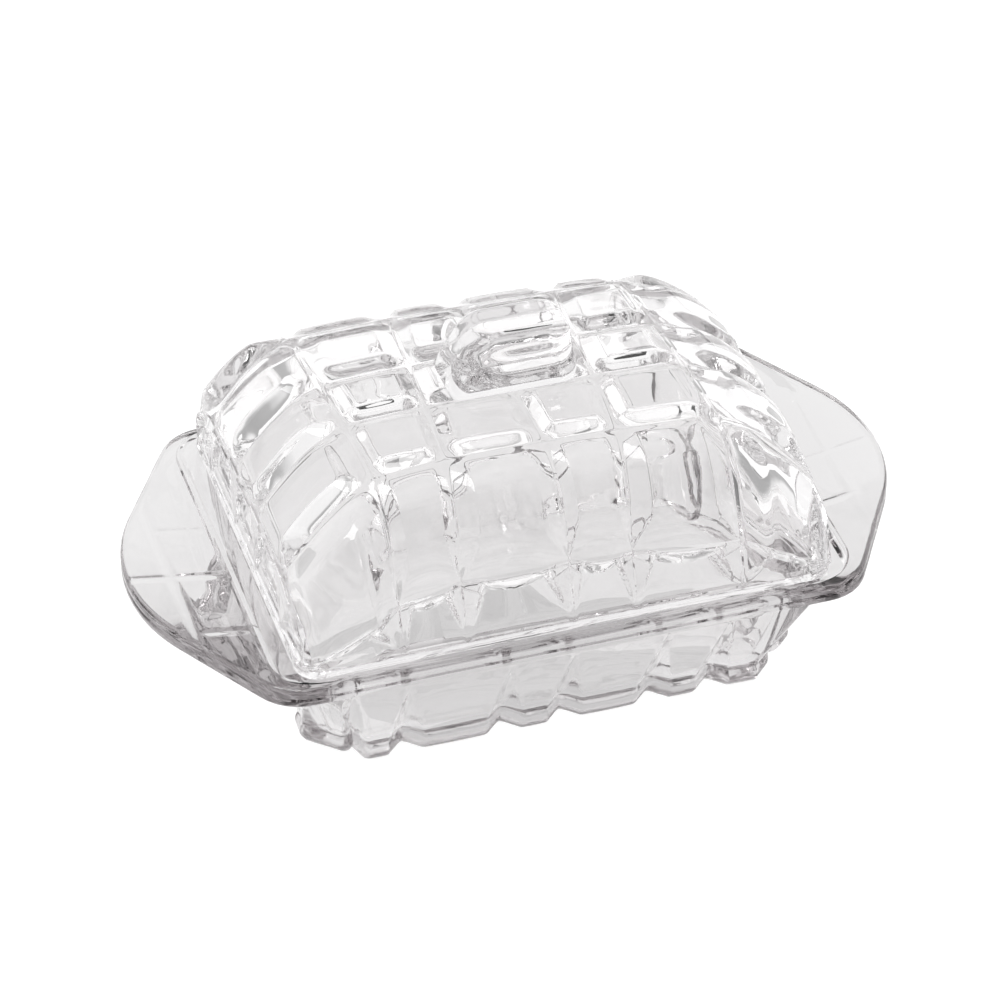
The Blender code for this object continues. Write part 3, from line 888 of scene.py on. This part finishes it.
def add_card(name, points, faces, grey):
    """A grey card that only the glass sees, by reflection and refraction."""
    card = new_object(name, points, faces)
    card.data.materials.append(glowing_material(name, 0.0, 0.5, grey, 1.0))
    card.visible_camera = False
    card.visible_diffuse = False
    card.visible_shadow = False


def floor_card(name, half_spread, inner, outer, height, grey):
    """A flat sector of a ring round the dish, just above the floor, centred on the camera's side."""
    points, faces = [], []
    for step in range(CARD_STEPS + 1):
        angle = math.radians(VIEW_AZIMUTH + half_spread * (2 * step / CARD_STEPS - 1))
        for radius in (inner, outer):
            points.append((radius * math.sin(angle), -radius * math.cos(angle), height))
        if step:
            low = 2 * step
            faces.append((low - 2, low - 1, low + 1, low))
    add_card(name, points, faces, grey)


def facing_card(name, azimuth, elevation, half_width, half_height, grey):
    """A flat card that faces the dish from a direction."""
    back, right, up = view_directions(azimuth, elevation)
    points = [
        back * FACING_CARD_DISTANCE + right * half_width * side + up * half_height * level
        for side, level in ((-1, -1), (1, -1), (1, 1), (-1, 1))
    ]
    add_card(name, points, [(0, 1, 2, 3)], grey)


def build_key_light():
    data = bpy.data.lights.new("key", "AREA")
    data.shape = "RECTANGLE"
    data.size, data.size_y = KEY_SIZE
    data.energy = KEY_ENERGY
    light = bpy.data.objects.new("key", data)
    light.location = KEY_PLACE
    direction = Vector(KEY_TARGET) - Vector(KEY_PLACE)
    light.rotation_mode = "QUATERNION"
    light.rotation_quaternion = direction.to_track_quat("-Z", "Y")
    bpy.context.scene.collection.objects.link(light)


def build_camera():
    back, _, up = view_directions(VIEW_AZIMUTH, VIEW_ELEVATION)
    target = Vector((TARGET_X, 0.0, SEAT_Z)) + up * TARGET_RISE
    data = bpy.data.cameras.new("camera")
    data.sensor_width = SENSOR_WIDTH
    data.lens = SENSOR_WIDTH * FOCAL_WIDTHS
    camera = bpy.data.objects.new("camera", data)
    camera.location = target + back * VIEW_DISTANCE
    camera.rotation_mode = "QUATERNION"
    camera.rotation_quaternion = back.to_track_quat("Z", "Y")
    bpy.context.scene.collection.objects.link(camera)
    bpy.context.scene.camera = camera


def build_studio():
    build_floor()
    build_world()
    for card in FLOOR_CARDS:
        floor_card(*card)
    for card in FACING_CARDS:
        facing_card(*card)
    build_key_light()
    scene = bpy.context.scene
    scene.view_settings.view_transform = "Standard"
    scene.cycles.max_bounces = LIGHT_BOUNCES
    scene.cycles.glossy_bounces = LIGHT_BOUNCES
    scene.cycles.transmission_bounces = LIGHT_BOUNCES


def main():
    build_camera()
    build_studio()
    tray = build_tray()
    tray.data.materials.clear()
    tray.data.materials.append(glass_material("clear_glass_tray", TRAY_DENSITY, 3.0))
    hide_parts("tray")
    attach(tray, "tray")
    lid = build_lid()
    lid.data.materials.clear()
    lid.data.materials.append(glass_material("clear_glass_lid", LID_DENSITY, 11.0))
    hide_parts("lid")
    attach(lid, "lid")


main()
